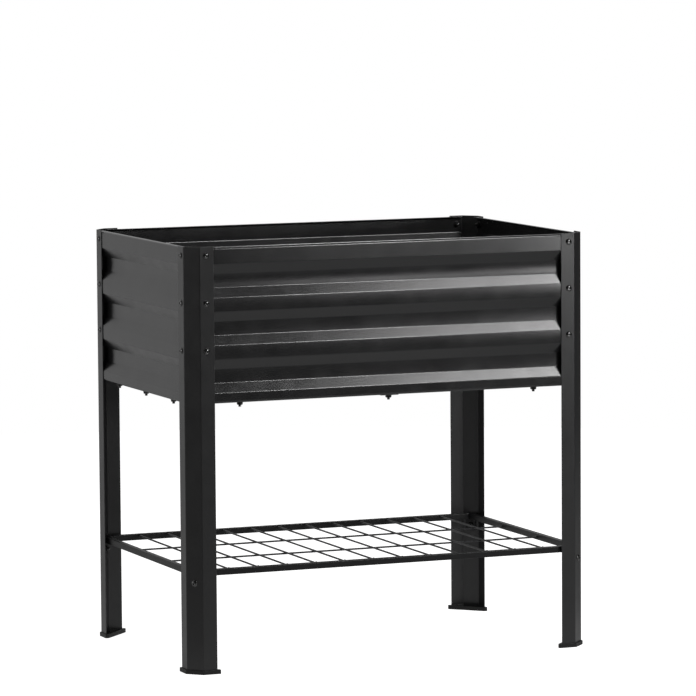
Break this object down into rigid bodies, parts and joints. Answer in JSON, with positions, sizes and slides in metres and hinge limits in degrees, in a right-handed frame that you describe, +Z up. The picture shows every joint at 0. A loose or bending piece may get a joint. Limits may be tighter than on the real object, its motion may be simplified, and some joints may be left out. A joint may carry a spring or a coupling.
{
  "type": "raised planter on legs",
  "caption": "Rectangular raised planter: a corrugated sheet-metal box bolted between bent-sheet corner legs on plastic feet, with a wire-grid shelf below.",
  "frame": {"origin": "on the ground, at the centre of the footprint", "axes": "+X along the long front from left to right, +Y from the front to the rear, +Z up"},
  "size_m": [0.921, 0.607, 0.9],
  "materials": {
    "leg_paint": "satin charcoal powder coat with fine orange peel",
    "foot_plastic": "moulded black polypropylene, fine grain",
    "panel_paint": "satin charcoal prepainted steel",
    "floor_paint": "satin charcoal prepainted steel",
    "shelf_paint": "satin black powder coat",
    "screw_black": "gloss black",
    "nut_black": "satin black"
  },
  "bodies": {
    "root": {"leg_front_left": "leg_paint", "leg_front_right": "leg_paint", "leg_rear_left": "leg_paint", "leg_rear_right": "leg_paint", "foot_front_left": "foot_plastic", "foot_front_right": "foot_plastic", "foot_rear_left": "foot_plastic", "foot_rear_right": "foot_plastic", "front_panel": "panel_paint", "rear_panel": "panel_paint", "left_panel": "panel_paint", "right_panel": "panel_paint", "floor_panel": "floor_paint", "floor_brace": "floor_paint", "shelf_front_rail": "shelf_paint", "shelf_rear_rail": "shelf_paint", "shelf_left_rail": "shelf_paint", "shelf_right_rail": "shelf_paint", "shelf_tab_front_left": "shelf_paint", "shelf_tab_front_right": "shelf_paint", "shelf_tab_rear_left": "shelf_paint", "shelf_tab_rear_right": "shelf_paint", "shelf_cross_wires": "shelf_paint", "shelf_long_wires": "shelf_paint", "screws_front_left": "screw_black", "screws_front_right": "screw_black", "screws_rear_left": "screw_black", "screws_rear_right": "screw_black", "nuts_front_left": "nut_black", "nuts_front_right": "nut_black", "nuts_rear_left": "nut_black", "nuts_rear_right": "nut_black", "floor_screws": "screw_black", "floor_nuts": "nut_black"}
  },
  "joints": []
}
